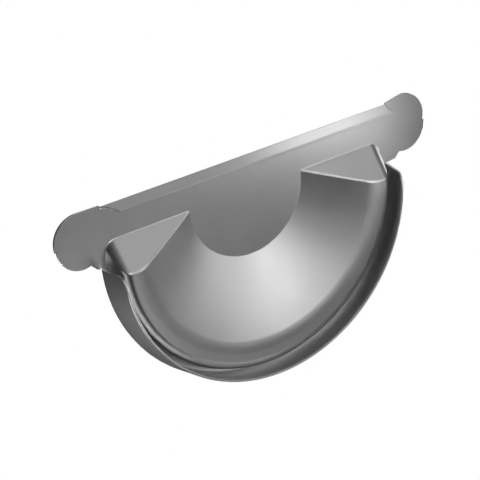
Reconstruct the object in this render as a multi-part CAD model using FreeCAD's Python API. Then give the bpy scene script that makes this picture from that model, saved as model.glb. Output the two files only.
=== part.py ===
import FreeCAD, Part
import math
import os

# End cap for a half-round gutter, pressed and folded from one piece of galvanised sheet.
# The origin is the centre of the gutter's half circle, in the front face of the flat plate.
# X runs along the folded top edge, Z is up, and -Y points into the gutter.

# Sheet and its folds
sheet = 0.8
fold_radius = 1.0

# Rim that goes round the gutter's end
gutter_radius = 62.5
gutter_gap = 0.7
rim_flare = 2.2
rim_depth = 14.0
rim_top = -1.0
rim_corner_run = 4.5
rim_corner_drop = 7.0
rim_fold_radius = 1.2

# Folded top edge
fold_level = 23.6
flange_width = 9.1
flange_left_inset = 3.2
flange_right_reach = 1.8
flange_taper = 3.2
taper_bulge = 0.5

# Rounded ears, cut in two strokes each, the lower one a little to the right of the upper one
left_ear_reach = 17.4
right_ear_reach = 19.7
left_ear_top = 23.8
right_ear_top = 25.1
ear_bottom = 1.2
upper_lobe_radius = 10.5
lower_lobe_radius = 10.2
lobe_shift = 0.5
lobe_step_level = 11.4
ear_root_angle = 17.0
root_notch = 2.2

# Pressed dish that stiffens the plate; an inside rounding is on the hollow side of the bend
flat_radius = 25.5
flat_level = 8.0
crest_height = 11.6
crest_clearance = 2.4
crest_inside = 3.2
shoulder_drop = 2.2
shoulder_inside = 18.0
groove_width = 2.1

# Sloped gussets that end the dish under the plate's top strip
gusset_level = 9.0
gusset_angle = 39.0
ridge_inside = 0.6
corner_reach = 0.8
corner_lean = 54.0
corner_slope = 52.0
corner_inside = 5.0
foot_inside = 0.7

# Working allowances of the cutting solids, in millimetres and in crest heights
spare = 40.0
cone_reach = 1.3
cutter_reach = 1.5
cutter_back = 0.25

# Share of the shoulder's narrowest width that the rounding at its inner edge may take
shoulder_share = 0.75

# Angles in degrees below which a joint between faces counts as smooth, and above which it is square
smooth_angle = 5.0
square_angle = 80.0
tolerance = 0.001

rim_inner = gutter_radius + gutter_gap
rim_slope = math.atan2(rim_flare, rim_depth)
rim_root = rim_inner + rim_flare
rim_outer = rim_root + sheet
crest_radius = gutter_radius - crest_clearance
shoulder_level = round(crest_height - shoulder_drop, 6)
corner_out = crest_radius + corner_reach
left_ear_end = rim_outer + left_ear_reach
right_ear_end = rim_outer + right_ear_reach
flange_left = rim_outer - flange_left_inset
flange_right = rim_outer + flange_right_reach
plate_radius = rim_root - rim_fold_radius
press_foot_radius = rim_root - groove_width
half_width = right_ear_end + spare

FORWARD = FreeCAD.Vector(0, -1, 0)
UPWARD = FreeCAD.Vector(0, 0, 1)


def rounded_wire(corners):
    """Closed wire through (point, radius) corners, with a tangent arc at each radius above zero."""
    edges = []
    ends = []
    count = len(corners)
    for index in range(count):
        before = corners[index - 1][0]
        point, radius = corners[index]
        after = corners[(index + 1) % count][0]
        arrive = (point - before).normalize()
        leave = (after - point).normalize()
        if radius <= 0:
            ends.append((point, point))
            continue
        turn = arrive.getAngle(leave)
        reach = radius * math.tan(turn / 2)
        start = point - arrive * reach
        stop = point + leave * reach
        inward = (leave - arrive).normalize()
        middle = point + inward * (radius / math.cos(turn / 2) - radius)
        edges.append(Part.Arc(start, middle, stop).toShape())
        ends.append((start, stop))
    for index in range(count):
        start = ends[index][1]
        stop = ends[(index + 1) % count][0]
        if start.distanceToPoint(stop) > tolerance:
            edges.append(Part.LineSegment(start, stop).toShape())
    return Part.Wire(Part.__sortEdges__(edges))


def half_space(point, normal):
    """A large block whose one face passes through point, and that fills the side of the normal."""
    size = 2 * half_width
    block = Part.makeBox(size, size, size, FreeCAD.Vector(-size / 2, -size / 2, 0))
    block.Placement = FreeCAD.Placement(point, FreeCAD.Rotation(UPWARD, normal))
    return block


def bent_edges(shape, most=180.0):
    """Edges where two faces meet at an angle, up to the given number of degrees."""
    found = []
    for edge in shape.Edges:
        faces = shape.ancestorsOfType(edge, Part.Face)
        middle = edge.valueAt((edge.FirstParameter + edge.LastParameter) / 2)
        normals = [face.normalAt(*face.Surface.parameter(middle)) for face in faces]
        if len(normals) == 2 and smooth_angle < math.degrees(normals[0].getAngle(normals[1])) < most:
            found.append(edge)
    return found


def lies_at(edge, depth):
    """True when an edge lies in a plane parallel to the plate, at this depth behind its front face."""
    middle = edge.valueAt((edge.FirstParameter + edge.LastParameter) / 2)
    points = [vertex.Point for vertex in edge.Vertexes] + [middle]
    return all(abs(point.y - depth) < tolerance for point in points)


def foot_edges(shape, depth):
    """Edges where the pressing leaves the flat of the plate, on one of the sheet's two faces."""
    limit = gusset_level + sheet
    edges = [edge for edge in bent_edges(shape, square_angle) if lies_at(edge, depth)]
    return [edge for edge in edges if max(vertex.Z for vertex in edge.Vertexes) < limit]


def polar(centre_x, centre_z, radius, degrees):
    """Point of the plate's front face on a circle, by its angle."""
    angle = math.radians(degrees)
    return FreeCAD.Vector(centre_x + radius * math.cos(angle), 0, centre_z + radius * math.sin(angle))


def mirrored(edges):
    """The same edges on the other side of the middle plane."""
    return [edge.mirror(FreeCAD.Vector(), FreeCAD.Vector(1, 0, 0)) for edge in edges]


def lobe_arc(centre_x, centre_z, radius, first, last):
    """Arc in the plate's front face about a lobe's centre, between two angles."""
    points = [polar(centre_x, centre_z, radius, a) for a in (first, (first + last) / 2, last)]
    return points[0], points[2], Part.Arc(*points).toShape()


def step_angle(centre_z, radius):
    """Angle at which a lobe's circle crosses the level of the step between the two strokes."""
    return math.degrees(math.asin((lobe_step_level - centre_z) / radius))


def level_point(radius):
    """Where a circle about the origin crosses the level of the rim's upper ends."""
    return FreeCAD.Vector(math.sqrt(radius ** 2 - rim_top ** 2), 0, rim_top)


def ear_edges(flange_end, ear_end, ear_top, shift):
    """Right-hand outline of the plate, from the flange's end round the ear to the rim."""
    centre_x = ear_end - upper_lobe_radius
    upper_z = ear_top - upper_lobe_radius
    lower_z = ear_bottom + lower_lobe_radius
    upper_last = step_angle(upper_z, upper_lobe_radius)
    lower_first = step_angle(lower_z, lower_lobe_radius)
    top, step_start, upper = lobe_arc(centre_x, upper_z, upper_lobe_radius, 90, upper_last)
    step_end, root, lower = lobe_arc(
        centre_x + shift, lower_z, lower_lobe_radius, lower_first, -90 - ear_root_angle)
    fold_end = FreeCAD.Vector(flange_end, 0, fold_level)
    notch = FreeCAD.Vector(root.x - root_notch, 0, root.z - root_notch)
    rim_end = level_point(rim_outer)
    groove_end = level_point(plate_radius)
    return [
        Part.LineSegment(fold_end, top).toShape(),
        upper,
        Part.LineSegment(step_start, step_end).toShape(),
        lower,
        Part.LineSegment(root, notch).toShape(),
        Part.LineSegment(notch, rim_end).toShape(),
        Part.LineSegment(rim_end, groove_end).toShape(),
    ]


def make_plate():
    """Flat plate with both ears, up to the fold of the top edge and down to the groove."""
    fold_start = fold_level - fold_radius - sheet
    right = ear_edges(flange_right, right_ear_end, right_ear_top, lobe_shift)
    left = mirrored(ear_edges(flange_left, left_ear_end, left_ear_top, -lobe_shift))
    groove_end = level_point(plate_radius)
    groove_start = FreeCAD.Vector(-groove_end.x, 0, rim_top)
    groove_middle = FreeCAD.Vector(0, 0, -plate_radius)
    groove = Part.Arc(groove_start, groove_middle, groove_end).toShape()
    corners = [
        FreeCAD.Vector(-flange_left, 0, fold_level),
        FreeCAD.Vector(-flange_left, 0, fold_start),
        FreeCAD.Vector(flange_right, 0, fold_start),
        FreeCAD.Vector(flange_right, 0, fold_level),
    ]
    top = [Part.LineSegment(a, b).toShape() for a, b in zip(corners, corners[1:])]
    outline = Part.Wire(Part.__sortEdges__(right + left + top + [groove]))
    return Part.Face(outline).extrude(FreeCAD.Vector(0, sheet, 0))


def make_flange():
    """Top edge folded forward over the gutter, with slanting ends."""
    outer = fold_radius + sheet
    section = rounded_wire([
        (FreeCAD.Vector(0, sheet, fold_level - outer), 0),
        (FreeCAD.Vector(0, sheet, fold_level), outer),
        (FreeCAD.Vector(0, -flange_width, fold_level), 0),
        (FreeCAD.Vector(0, -flange_width, fold_level - sheet), 0),
        (FreeCAD.Vector(0, 0, fold_level - sheet), fold_radius),
        (FreeCAD.Vector(0, 0, fold_level - outer), 0),
    ])
    length = flange_left + flange_right
    strip = Part.Face(section).extrude(FreeCAD.Vector(length, 0, 0))
    strip.translate(FreeCAD.Vector(-flange_left, 0, 0))

    def end_curve(end, inward):
        start = FreeCAD.Vector(end, 0, 0)
        stop = FreeCAD.Vector(end + inward * flange_taper, -flange_width, 0)
        across = FreeCAD.Vector(-inward * flange_width, -flange_taper, 0).normalize()
        middle = (start + stop) * 0.5 - across * taper_bulge
        return start, middle, stop

    left = end_curve(-flange_left, 1)
    right = end_curve(flange_right, -1)
    back_left = FreeCAD.Vector(-flange_left, sheet, 0)
    back_right = FreeCAD.Vector(flange_right, sheet, 0)
    plan = Part.Wire(Part.__sortEdges__([
        Part.Arc(*left).toShape(),
        Part.LineSegment(left[2], right[2]).toShape(),
        Part.Arc(*right).toShape(),
        Part.LineSegment(right[0], back_right).toShape(),
        Part.LineSegment(back_right, back_left).toShape(),
        Part.LineSegment(back_left, left[0]).toShape(),
    ]))
    return strip.common(Part.Face(plan).extrude(UPWARD * (fold_level + sheet)))


def make_rim():
    """Half-round wall with its fold into the plate, trimmed at both upper ends."""
    flare_in = FreeCAD.Vector(rim_inner, -rim_depth, 0)
    flare_out = FreeCAD.Vector(rim_inner + sheet, -rim_depth, 0)
    root_in = FreeCAD.Vector(rim_root, 0, 0)
    root_out = FreeCAD.Vector(rim_outer + sheet * math.tan(rim_slope), sheet, 0)
    groove = rim_root - 2 * rim_fold_radius
    section = rounded_wire([
        (flare_in, 0),
        (flare_out, 0),
        (root_out, rim_fold_radius + sheet),
        (FreeCAD.Vector(groove, sheet, 0), 0),
        (FreeCAD.Vector(groove, 0, 0), 0),
        (root_in, rim_fold_radius),
    ])
    ring = Part.Face(section).revolve(FreeCAD.Vector(), FreeCAD.Vector(0, 1, 0), 360)
    corner_start = FreeCAD.Vector(-half_width, rim_corner_run - rim_depth, rim_top)
    corner_pole = FreeCAD.Vector(-half_width, -rim_depth, rim_top)
    corner_end = FreeCAD.Vector(-half_width, -rim_depth, rim_top - rim_corner_drop)
    corner = Part.BezierCurve()
    corner.setPoles([corner_start, corner_pole, corner_end])
    straight = [
        corner_end,
        corner_end + FORWARD * spare,
        FreeCAD.Vector(-half_width, -rim_depth - spare, 2 * half_width),
        FreeCAD.Vector(-half_width, spare, 2 * half_width),
        FreeCAD.Vector(-half_width, spare, rim_top),
        corner_start,
    ]
    edges = [corner.toShape()]
    edges += [Part.LineSegment(a, b).toShape() for a, b in zip(straight, straight[1:])]
    trim = Part.Face(Part.Wire(edges)).extrude(FreeCAD.Vector(2 * half_width, 0, 0))
    return ring.cut(trim)


def dish_cutter(back_shift):
    """Oblique cone that hollows the pressing, from the flat half circle out to the crest."""
    widen = (crest_radius - flat_radius) / crest_height
    sink = flat_level / crest_height
    wires = []
    for depth in (-crest_height * cutter_reach, crest_height * cutter_back):
        centre = FreeCAD.Vector(0, depth + back_shift, flat_level + sink * depth)
        circle = Part.Circle(centre, FORWARD, flat_radius - widen * depth)
        wires.append(Part.Wire(circle.toShape()))
    return Part.makeLoft(wires, True, True)


def shoulder_edges(ring, level, crest_circle):
    """Inner and outer edges of the flat shoulder, whose outer edge is the crest's circle."""
    inner, outer = [], []
    for edge in ring.Edges:
        if lies_at(edge, -level):
            point = edge.Vertexes[0].Point
            on_crest = abs(math.hypot(point.x, point.z) - crest_circle) < tolerance
            (outer if on_crest else inner).append(edge)
    return inner, outer


def shoulder_rounding():
    """Inside radius at the shoulder's inner edge, limited by the shoulder where it is narrowest."""
    widen = (crest_radius - flat_radius) / crest_height
    sink = flat_level / crest_height
    drawn_in = (press_foot_radius - crest_radius) / crest_height
    outer = press_foot_radius - drawn_in * shoulder_level
    inner = flat_radius + flat_level + (widen - sink) * shoulder_level
    steepest = math.atan2(1, widen - sink)
    most = shoulder_share * (outer - inner) / math.tan(steepest / 2)
    return min(shoulder_inside, most - sheet)


def pressed_ring(inset):
    """Ring of the pressing all the way round, with a nearly flat shoulder and a rounded crest."""
    flank = math.atan2(press_foot_radius - crest_radius, crest_height)
    slope = math.atan2(crest_height, crest_radius - flat_radius)
    foot = sheet + inset
    top = crest_height * cone_reach
    level = shoulder_level - inset
    radius_at_plate = press_foot_radius - inset / math.cos(flank)
    base_radius = radius_at_plate + foot * math.tan(flank)
    top_radius = radius_at_plate - top * math.tan(flank)
    crest_circle = radius_at_plate - level * math.tan(flank)
    base = FreeCAD.Vector(0, foot, 0)
    cone = Part.makeCone(base_radius, top_radius, foot + top, base, FORWARD)
    ring = cone.cut([dish_cutter(inset / math.cos(slope)), half_space(FORWARD * level, FORWARD)])
    inner = shoulder_edges(ring, level, crest_circle)[0]
    ring = ring.makeFillet(shoulder_rounding() + sheet - inset, inner)
    outer = shoulder_edges(ring, level, crest_circle)[1]
    return ring.makeFillet(crest_inside + sheet - inset, outer)


def press_die(inset):
    """Solid under the raised pressing; an inset of the sheet gives the hollow behind it."""
    gusset = math.radians(gusset_angle)
    gusset_normal = FreeCAD.Vector(0, -math.cos(gusset), math.sin(gusset))
    gusset_foot = FreeCAD.Vector(0, 0, gusset_level)
    body = pressed_ring(inset)
    body = body.cut(half_space(gusset_foot - gusset_normal * inset, gusset_normal))
    lean = math.radians(corner_lean)
    tilt = math.radians(corner_slope)
    for side in (-1, 1):
        across = FreeCAD.Vector(side * math.sin(lean), 0, math.cos(lean))
        normal = across * math.sin(tilt) + FORWARD * math.cos(tilt)
        foot_point = FreeCAD.Vector(side * corner_out, 0, gusset_level)
        body = body.cut(half_space(foot_point - normal * inset, normal))
    mouth = sheet + inset
    shoulder = inset - shoulder_level
    straight = [edge for edge in bent_edges(body) if edge.Curve.TypeId == "Part::GeomLine"]
    corners = [edge for edge in straight if not (lies_at(edge, mouth) or lies_at(edge, shoulder))]
    body = body.makeFillet(corner_inside + sheet - inset, corners)
    ridges = [edge for edge in bent_edges(body) if not lies_at(edge, mouth)]
    return body.makeFillet(ridge_inside + sheet - inset, ridges)


plate = make_plate()
flange = make_flange()
rim = make_rim()
raised = press_die(0)
hollow = press_die(sheet)
blank = plate.fuse([flange, rim]).removeSplitter()
cap = blank.fuse(raised).cut(hollow)
cap = cap.makeFillet(foot_inside, foot_edges(cap, 0))
cap = cap.makeFillet(foot_inside + sheet, foot_edges(cap, sheet))

print("solids", len(cap.Solids), "valid", cap.isValid(), "volume", round(cap.Volume))
os.makedirs("parts", exist_ok=True)
cap.exportStep("parts/end_cap.step")
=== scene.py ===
import math

import bmesh
import bpy
from bpy.props import FloatProperty, FloatVectorProperty, PointerProperty
from mathutils import Matrix, Vector

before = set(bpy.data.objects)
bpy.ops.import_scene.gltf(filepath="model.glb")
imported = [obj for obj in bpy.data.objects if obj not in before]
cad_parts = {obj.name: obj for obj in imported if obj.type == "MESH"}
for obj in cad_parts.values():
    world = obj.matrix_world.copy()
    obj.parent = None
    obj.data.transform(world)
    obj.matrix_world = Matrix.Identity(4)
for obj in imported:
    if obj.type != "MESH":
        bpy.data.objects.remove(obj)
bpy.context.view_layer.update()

bl_info = {
    "name": "Gutter end cap",
    "version": (1, 0, 0),
    "blender": (4, 5, 0),
    "location": "3D View > Sidebar > End cap",
    "description": "Zinc-coated sheet finish and studio for a pressed gutter end cap",
    "category": "Object",
}

CAP_NODE = "end_cap"
MILLIMETRE = 0.001

# Sockets of the Mix node that carry colours
MIX_FIRST = 6
MIX_SECOND = 7
MIX_RESULT = 2

# Zinc sheet: middle of a noise pattern, and how much each pattern adds to tone, roughness and
# relief, with the stretch of the drawn lines along the sheet
NOISE_MIDDLE = 0.5
MOTTLE_TONE = 0.55
GRAIN_TONE = 0.25
DRAWN_TONE = 0.2
MOTTLE_ROUGHNESS = 0.08
DRAWN_ROUGHNESS = 0.04
GRAIN_RELIEF = 0.7
DRAWN_RELIEF = 0.3
RELIEF_STRENGTH = 0.1
LINE_STRETCH = (0.06, 1.0, 1.0)

# Edges of the sheet: share of the painted edge highlight, and the cosines between the rounded and
# the true normal at which that painted highlight starts and is full
EDGE_HIGHLIGHT_SHARE = 0.9
EDGE_START = 0.995
EDGE_FULL = 0.85
EDGE_SAMPLES = 6

# Paper, in metres from the origin: it lies level, then sweeps up into the background
PAPER_HALF_WIDTH = 6.0
PAPER_FRONT = -6.0
PAPER_LEVEL = -0.35
PAPER_TOP = 6.0
SWEEP_START = 1.0
SWEEP_RADIUS = 1.0
SWEEP_STEPS = 12

# Room: greys from straight below to straight above
ROOM_GREYS = ((0.0, 0.35), (0.5, 0.5), (1.0, 1.0))

# Camera: sensor width in millimetres, and the nearest and farthest that it sees, in metres
SENSOR_WIDTH = 36.0
CLIP_START = 0.01
CLIP_END = 50.0


# Shader maths


class Wire:
    """An output socket of a shader tree, on which sums are written as plain expressions."""

    def __init__(self, shader, socket):
        self.shader = shader
        self.socket = socket

    def sum_with(self, operation, first, second):
        return self.shader.node("ShaderNodeMath", {"operation": operation}, {0: first, 1: second})

    def __add__(self, other):
        return self.sum_with("ADD", self, other)

    def __radd__(self, other):
        return self.sum_with("ADD", other, self)

    def __sub__(self, other):
        return self.sum_with("SUBTRACT", self, other)

    def __rsub__(self, other):
        return self.sum_with("SUBTRACT", other, self)

    def __mul__(self, other):
        return self.sum_with("MULTIPLY", self, other)

    def __rmul__(self, other):
        return self.sum_with("MULTIPLY", other, self)


class Shader:
    """A node tree under construction."""

    def __init__(self, owner):
        owner.use_nodes = True
        self.tree = owner.node_tree
        self.tree.nodes.clear()

    def node(self, kind, settings=None, inputs=None, output=0):
        """Adds a node, sets its settings, then its sockets, and returns one of its outputs."""
        made = self.tree.nodes.new(kind)
        for name, value in (settings or {}).items():
            if name == "stops":
                self.set_stops(made.color_ramp, value)
            else:
                setattr(made, name, value)
        for key, value in (inputs or {}).items():
            if isinstance(value, Wire):
                self.tree.links.new(value.socket, made.inputs[key])
            else:
                made.inputs[key].default_value = value
        return Wire(self, made.outputs[output]) if made.outputs else made

    def set_stops(self, ramp, stops):
        """Gives a colour ramp its stops, from (place, grey) pairs."""
        while len(ramp.elements) < len(stops):
            ramp.elements.new(1.0)
        for element, (place, grey) in zip(ramp.elements, stops):
            element.position = place
            element.color = (grey, grey, grey, 1.0)

    def mix_colour(self, factor, first, second):
        """Blends two colours, with 0 giving the first."""
        inputs = {"Factor": factor, MIX_FIRST: first, MIX_SECOND: second}
        return self.node("ShaderNodeMix", {"data_type": "RGBA"}, inputs, MIX_RESULT)

    def vector(self, operation, first, second, output=0):
        """One Vector Math node on two vectors."""
        inputs = {0: first, 1: second}
        return self.node("ShaderNodeVectorMath", {"operation": operation}, inputs, output)

    def noise(self, place, size, detail, roughness):
        """Noise pattern whose patches are about as wide as the given size."""
        return self.node("ShaderNodeTexNoise", None, {
            "Vector": place, "Scale": 1 / size, "Detail": detail, "Roughness": roughness,
        })


def zinc_sheet(finish):
    """Satin zinc-coated steel: soft mottling, fine grain, drawn lines, and a painted highlight on
    edges and tight bends.
    """
    material = bpy.data.materials.new("zinc_sheet")
    shader = Shader(material)
    place = shader.node("ShaderNodeTexCoord", output="Object")
    mottle = shader.noise(place, finish.mottle_size, detail=3.0, roughness=0.55)
    grain = shader.noise(place, finish.grain_size, detail=2.0, roughness=0.6)
    stretched = shader.vector("MULTIPLY", place, LINE_STRETCH)
    drawn = shader.noise(stretched, finish.line_size, detail=2.0, roughness=0.5)
    rounded = shader.node(
        "ShaderNodeBevel", {"samples": EDGE_SAMPLES}, {"Radius": finish.edge_width})
    true_normal = shader.node("ShaderNodeNewGeometry", output="True Normal")
    facing = shader.vector("DOT_PRODUCT", rounded, true_normal, "Value")
    edge = shader.node("ShaderNodeMapRange", {"interpolation_type": "SMOOTHSTEP"}, {
        "Value": facing, "From Min": EDGE_START, "From Max": EDGE_FULL,
        "To Min": 0.0, "To Max": 1.0,
    })
    patches = mottle - NOISE_MIDDLE
    lines = drawn - NOISE_MIDDLE
    specks = grain - NOISE_MIDDLE
    tone = NOISE_MIDDLE + patches * MOTTLE_TONE + specks * GRAIN_TONE + lines * DRAWN_TONE
    sheet = shader.mix_colour(tone, (*finish.dark_zinc, 1.0), (*finish.light_zinc, 1.0))
    # Edges and tight bends are blended toward the near-white tone: a painted highlight along the
    # sheet's edges and bends
    colour = shader.mix_colour(edge * EDGE_HIGHLIGHT_SHARE, sheet, (*finish.painted_edge_highlight, 1.0))
    roughness = finish.roughness + patches * MOTTLE_ROUGHNESS + lines * DRAWN_ROUGHNESS
    bump = shader.node("ShaderNodeBump", None, {
        "Strength": RELIEF_STRENGTH, "Distance": finish.grain_height,
        "Height": grain * GRAIN_RELIEF + drawn * DRAWN_RELIEF, "Normal": rounded,
    })
    steel = shader.node("ShaderNodeBsdfPrincipled", None, {
        "Base Color": colour, "Roughness": roughness, "Normal": bump, "Metallic": 1.0,
    })
    shader.node("ShaderNodeOutputMaterial", None, {"Surface": steel})
    return material


def studio_paper(studio):
    """Pale paper that shows nearly white."""
    material = bpy.data.materials.new("studio_paper")
    shader = Shader(material)
    paper = shader.node("ShaderNodeEmission", None, {
        "Color": (*studio.paper_colour, 1.0), "Strength": studio.paper_glow,
    })
    shader.node("ShaderNodeOutputMaterial", None, {"Surface": paper})
    return material


# Settings


class EndCapFinish(bpy.types.PropertyGroup):
    """Finish of the zinc-coated sheet."""

    light_zinc: FloatVectorProperty(
        name="Light zinc", description="Lighter tone of the zinc coat", subtype="COLOR",
        default=(0.86, 0.86, 0.865), min=0.0, max=1.0,
    )
    dark_zinc: FloatVectorProperty(
        name="Dark zinc", description="Darker tone of the zinc coat", subtype="COLOR",
        default=(0.71, 0.71, 0.715), min=0.0, max=1.0,
    )
    # Near-white tone blended onto edges and tight bends: a painted highlight, not a polished coat
    painted_edge_highlight: FloatVectorProperty(
        name="Painted edge highlight", description="Tone of edges and tight bends, where the coat is polished",
        subtype="COLOR", default=(0.98, 0.98, 0.98), min=0.0, max=1.0,
    )
    roughness: FloatProperty(
        name="Roughness", description="How much the sheet blurs what it reflects",
        subtype="FACTOR", default=0.33, min=0.0, max=1.0,
    )
    mottle_size: FloatProperty(
        name="Mottle size", description="Width of the soft light and dark patches",
        subtype="DISTANCE", unit="LENGTH", default=18 * MILLIMETRE, precision=4,
    )
    grain_size: FloatProperty(
        name="Grain size", description="Width of the coat's fine grain",
        subtype="DISTANCE", unit="LENGTH", default=0.5 * MILLIMETRE, precision=5,
    )
    grain_height: FloatProperty(
        name="Grain height", description="Height of the coat's fine grain",
        subtype="DISTANCE", unit="LENGTH", default=0.03 * MILLIMETRE, precision=6,
    )
    line_size: FloatProperty(
        name="Line size", description="Distance between the faint rolling lines",
        subtype="DISTANCE", unit="LENGTH", default=0.8 * MILLIMETRE, precision=5,
    )
    edge_width: FloatProperty(
        name="Edge width", description="Width of the softened edge of the sheet",
        subtype="DISTANCE", unit="LENGTH", default=0.4 * MILLIMETRE, precision=5,
    )


class EndCapStudio(bpy.types.PropertyGroup):
    """Camera, lights and paper."""

    camera_azimuth: FloatProperty(
        name="Camera azimuth", description="Side that the camera looks from, 0 being the front",
        subtype="ANGLE", unit="ROTATION", default=math.radians(-31.27),
    )
    camera_elevation: FloatProperty(
        name="Camera elevation", description="Height of the camera above the horizon",
        subtype="ANGLE", unit="ROTATION", default=math.radians(25.10),
    )
    camera_roll: FloatProperty(
        name="Camera roll", description="Turn of the camera about its line of sight",
        subtype="ANGLE", unit="ROTATION", default=math.radians(-6.36),
    )
    camera_distance: FloatProperty(
        name="Camera distance", description="Distance from the camera to its target",
        subtype="DISTANCE", unit="LENGTH", default=878.8 * MILLIMETRE,
    )
    camera_target: FloatVectorProperty(
        name="Camera target", description="Point that the camera looks at",
        subtype="TRANSLATION", unit="LENGTH", precision=5,
        default=(-4.97 * MILLIMETRE, 0.0, -10.28 * MILLIMETRE),
    )
    lens: FloatProperty(
        name="Lens", description="Focal length on a sensor 36 mm wide",
        unit="CAMERA", default=172.5, min=1.0,
    )
    paper_colour: FloatVectorProperty(
        name="Paper colour", description="Colour of the floor and background", subtype="COLOR",
        default=(1.0, 1.0, 1.0), min=0.0, max=1.0,
    )
    paper_glow: FloatProperty(
        name="Paper glow", description="Brightness of the floor and background",
        default=1.0, min=0.0,
    )
    room_glow: FloatProperty(
        name="Room glow", description="Brightness of the dim room that the sheet reflects",
        default=0.038, min=0.0,
    )
    light_scale: FloatProperty(
        name="Light scale", description="Factor on the power of every light", default=1.0, min=0.0,
    )


# Softboxes: name, azimuth and elevation from the origin in degrees, distance and width in
# millimetres, power in watts
SOFTBOXES = (
    ("front_box", 0, 22, 800, 300, 0.8),
    ("high_front_box", 30, 45, 800, 300, 0.16),
    ("edge_box", 31, 22, 800, 120, 0.176),
    ("low_front_box", 30, -22, 800, 300, 0.0342),
    ("floor_front_box", 30, -45, 800, 300, 0.143),
    ("front_right_box", 60, 0, 800, 300, 0.143),
    ("right_box", 90, 0, 800, 300, 0.649),
    ("back_box", 150, 28, 800, 300, 0.125),
    ("left_box", -60, -15, 800, 500, 0.25),
    ("rear_box", 145, -18, 800, 500, 0.3),
    ("high_right_box", 60, 45, 350, 130, 0.0271),
    ("low_right_box", 90, -22, 350, 130, 0.321),
    ("floor_left_box", -90, -45, 350, 130, 0.556),
    ("dish_box", 22.6, -6.6, 260, 50, 0.0175),
    ("dish_level_box", 24.6, 0, 252, 50, 0.009),
    ("plate_box", 39.1, -8.3, 208, 50, 0.00813),
    ("plate_end_box", 52.1, 0, 114, 50, 0.00357),
    ("ear_box", -10.3, -32, 132, 50, 0.00214),
    ("flange_box", 138.7, 25.2, 280, 60, 0.0165),
)


def toward(azimuth, elevation):
    """Direction from the object, with azimuth 0 in front and elevation above the horizon."""
    level = math.cos(elevation)
    return Vector((math.sin(azimuth) * level, -math.cos(azimuth) * level, math.sin(elevation)))


class ENDCAP_OT_finish(bpy.types.Operator):
    """Gives the pressed end cap its zinc-coated finish."""

    bl_idname = "endcap.finish"
    bl_label = "Finish the end cap"

    def execute(self, context):
        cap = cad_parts[CAP_NODE]
        material = zinc_sheet(context.scene.end_cap_finish)
        for slot in cap.material_slots:
            slot.material = material
        return {"FINISHED"}


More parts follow.
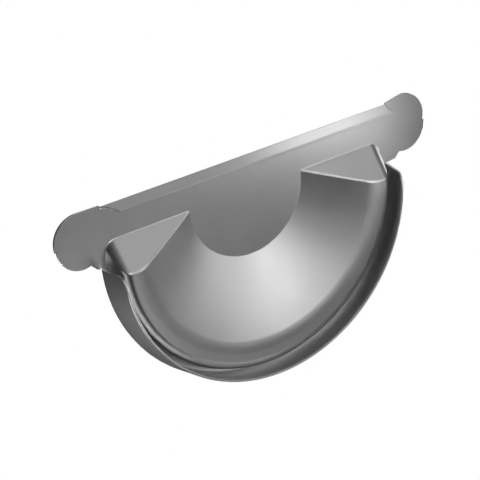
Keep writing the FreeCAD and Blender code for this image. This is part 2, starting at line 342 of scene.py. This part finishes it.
class ENDCAP_OT_stage(bpy.types.Operator):
    """Adds the pale paper, the softboxes, the room and the camera."""

    bl_idname = "endcap.stage"
    bl_label = "Build the stage"

    def execute(self, context):
        studio = context.scene.end_cap_studio
        self.add_paper(context, studio)
        self.add_room(context, studio)
        for box in SOFTBOXES:
            self.add_softbox(context, studio, *box)
        self.add_camera(context, studio)
        context.scene.view_settings.view_transform = "Standard"
        return {"FINISHED"}

    def add_paper(self, context, studio):
        """Floor that sweeps up into a background behind the object."""
        profile = [(PAPER_FRONT, PAPER_LEVEL), (SWEEP_START, PAPER_LEVEL)]
        for step in range(1, SWEEP_STEPS + 1):
            angle = math.pi / 2 * step / SWEEP_STEPS
            rise = SWEEP_RADIUS * (1 - math.cos(angle))
            profile.append((SWEEP_START + SWEEP_RADIUS * math.sin(angle), PAPER_LEVEL + rise))
        profile.append((SWEEP_START + SWEEP_RADIUS, PAPER_TOP))
        sides = (-PAPER_HALF_WIDTH, PAPER_HALF_WIDTH)
        work = bmesh.new()
        rows = [[work.verts.new((x, y, z)) for x in sides] for y, z in profile]
        for low, high in zip(rows, rows[1:]):
            work.faces.new((low[0], low[1], high[1], high[0])).smooth = True
        mesh = bpy.data.meshes.new("paper")
        work.to_mesh(mesh)
        work.free()
        paper = bpy.data.objects.new("paper", mesh)
        mesh.materials.append(studio_paper(studio))
        context.scene.collection.objects.link(paper)
        paper.visible_glossy = False
        paper.visible_diffuse = False
        paper.visible_shadow = False

    def add_room(self, context, studio):
        """Dim surroundings, lighter overhead."""
        world = bpy.data.worlds.new("room")
        context.scene.world = world
        shader = Shader(world)
        direction = shader.node("ShaderNodeTexCoord", output="Generated")
        height = shader.node("ShaderNodeSeparateXYZ", None, {"Vector": direction}, "Z")
        grey = shader.node("ShaderNodeValToRGB", {"stops": ROOM_GREYS}, {
            "Fac": height * 0.5 + 0.5,
        })
        glow = shader.node("ShaderNodeBackground", None, {
            "Color": grey, "Strength": studio.room_glow,
        })
        shader.node("ShaderNodeOutputWorld", None, {"Surface": glow})

    def add_softbox(self, context, studio, name, azimuth, elevation, distance, width, power):
        """Square light that faces the object."""
        light = bpy.data.lights.new(name, "AREA")
        light.shape = "SQUARE"
        light.size = width * MILLIMETRE
        light.energy = power * studio.light_scale
        softbox = bpy.data.objects.new(name, light)
        outward = toward(math.radians(azimuth), math.radians(elevation))
        softbox.location = outward * distance * MILLIMETRE
        softbox.rotation_euler = outward.to_track_quat("Z", "Y").to_euler()
        softbox.visible_camera = False
        context.scene.collection.objects.link(softbox)

    def add_camera(self, context, studio):
        """Camera at the photograph's viewing angle."""
        azimuth, elevation = studio.camera_azimuth, studio.camera_elevation
        back = toward(azimuth, elevation)
        right = Vector((math.cos(azimuth), math.sin(azimuth), 0.0))
        up = back.cross(right)
        roll = studio.camera_roll
        across = right * math.cos(roll) + up * math.sin(roll)
        upward = up * math.cos(roll) - right * math.sin(roll)
        data = bpy.data.cameras.new("camera")
        data.sensor_width = SENSOR_WIDTH
        data.lens = studio.lens
        data.clip_start = CLIP_START
        data.clip_end = CLIP_END
        camera = bpy.data.objects.new("camera", data)
        turn = Matrix((across, upward, back)).transposed().to_4x4()
        place = Vector(studio.camera_target) + back * studio.camera_distance
        camera.matrix_world = Matrix.Translation(place) @ turn
        context.scene.collection.objects.link(camera)
        context.scene.camera = camera


class ENDCAP_PT_panel(bpy.types.Panel):
    """Lists the end cap's settings and operators."""

    bl_idname = "ENDCAP_PT_panel"
    bl_label = "End cap"
    bl_space_type = "VIEW_3D"
    bl_region_type = "UI"
    bl_category = "End cap"

    def draw(self, context):
        layout = self.layout
        for heading, group, operator in (
            ("Finish", context.scene.end_cap_finish, ENDCAP_OT_finish),
            ("Studio", context.scene.end_cap_studio, ENDCAP_OT_stage),
        ):
            layout.label(text=heading)
            for name in group.__annotations__:
                layout.prop(group, name)
            layout.operator(operator.bl_idname)


CLASSES = (EndCapFinish, EndCapStudio, ENDCAP_OT_finish, ENDCAP_OT_stage, ENDCAP_PT_panel)


def register():
    for item in CLASSES:
        bpy.utils.register_class(item)
    bpy.types.Scene.end_cap_finish = PointerProperty(type=EndCapFinish)
    bpy.types.Scene.end_cap_studio = PointerProperty(type=EndCapStudio)


def unregister():
    del bpy.types.Scene.end_cap_studio
    del bpy.types.Scene.end_cap_finish
    for item in reversed(CLASSES):
        bpy.utils.unregister_class(item)


def main():
    """Registers the add-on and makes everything."""
    register()
    bpy.ops.endcap.finish()
    bpy.ops.endcap.stage()


if __name__ == "__main__":
    main()
